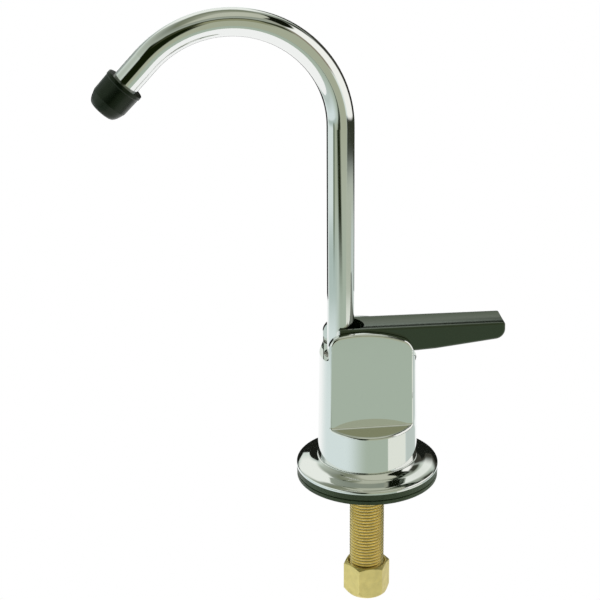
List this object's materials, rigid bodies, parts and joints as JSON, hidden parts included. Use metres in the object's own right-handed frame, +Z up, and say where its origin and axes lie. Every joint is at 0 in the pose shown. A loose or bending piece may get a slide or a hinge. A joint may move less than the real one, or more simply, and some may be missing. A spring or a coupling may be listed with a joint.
{
  "type": "drinking water tap",
  "caption": "Deck-mounted drinking water filter tap with a swivelling swan-neck spout, a press lever over a self-closing cartridge valve, a dished escutcheon and a threaded shank.",
  "frame": {"origin": "on the threaded shank's axis, in the plane of the deck that the base gasket rests on", "axes": "+Z up along the shank's axis, +X along the press lever towards its finger end, -X towards the spout's outlet"},
  "size_m": [0.125, 0.0452, 0.1968],
  "materials": {
    "chrome_plate": "bright chrome plate on polished metal",
    "black_rubber": "moulded black rubber, dull",
    "tip_rubber": "moulded black rubber with a soft sheen",
    "shank_brass": "bright machined brass",
    "nut_brass": "plain forged and machined brass",
    "turned_brass": "turned brass",
    "spring_steel": "bright drawn stainless wire and strip",
    "white_acetal": "moulded natural acetal",
    "lever_plastic": "moulded glossy black plastic"
  },
  "bodies": {
    "base": {"body": "chrome_plate", "escutcheon": "chrome_plate", "base_gasket": "black_rubber", "shank": "shank_brass", "shank_o_ring": "black_rubber", "compression_nut": "nut_brass", "compression_ferrule": "turned_brass", "spout_bushing": "white_acetal", "spout_retaining_ring": "spring_steel", "valve_bonnet": "turned_brass", "bonnet_o_ring_lower": "black_rubber", "bonnet_o_ring_upper": "black_rubber", "stem_o_ring": "black_rubber"},
    "spout": {"spout_tube": "chrome_plate", "spout_tip": "tip_rubber", "spout_journal": "turned_brass", "spout_o_ring_lower": "black_rubber", "spout_o_ring_upper": "black_rubber"},
    "lever": {"lever": "lever_plastic"},
    "stem": {"valve_stem": "turned_brass", "stem_cap": "white_acetal", "valve_washer": "black_rubber", "washer_cup": "turned_brass", "washer_screw": "turned_brass", "return_spring": "spring_steel"}
  },
  "joints": [
    {"name": "spout_swivel", "type": "hinge", "parent": "base", "child": "spout", "pos_m": [-0.00863, 0, 0.04235], "axis": [0, 0, 1], "continuous": true},
    {"name": "lever_press", "type": "hinge", "parent": "base", "child": "lever", "pos_m": [-0.00863, 0, 0.0466], "axis": [0, 1, 0], "range_deg": [0, 7], "stiffness_Nm_per_rad": 0.135, "springref_deg": -28.07},
    {"name": "stem_push", "type": "slide", "parent": "base", "child": "stem", "axis": [0, 0, -1], "range_m": [0, 0.0015], "deforming": ["return_spring"]}
  ],
  "couplings": [
    {"joint": "stem_push", "follows": "lever_press", "m_per_rad": 0.01223}
  ]
}
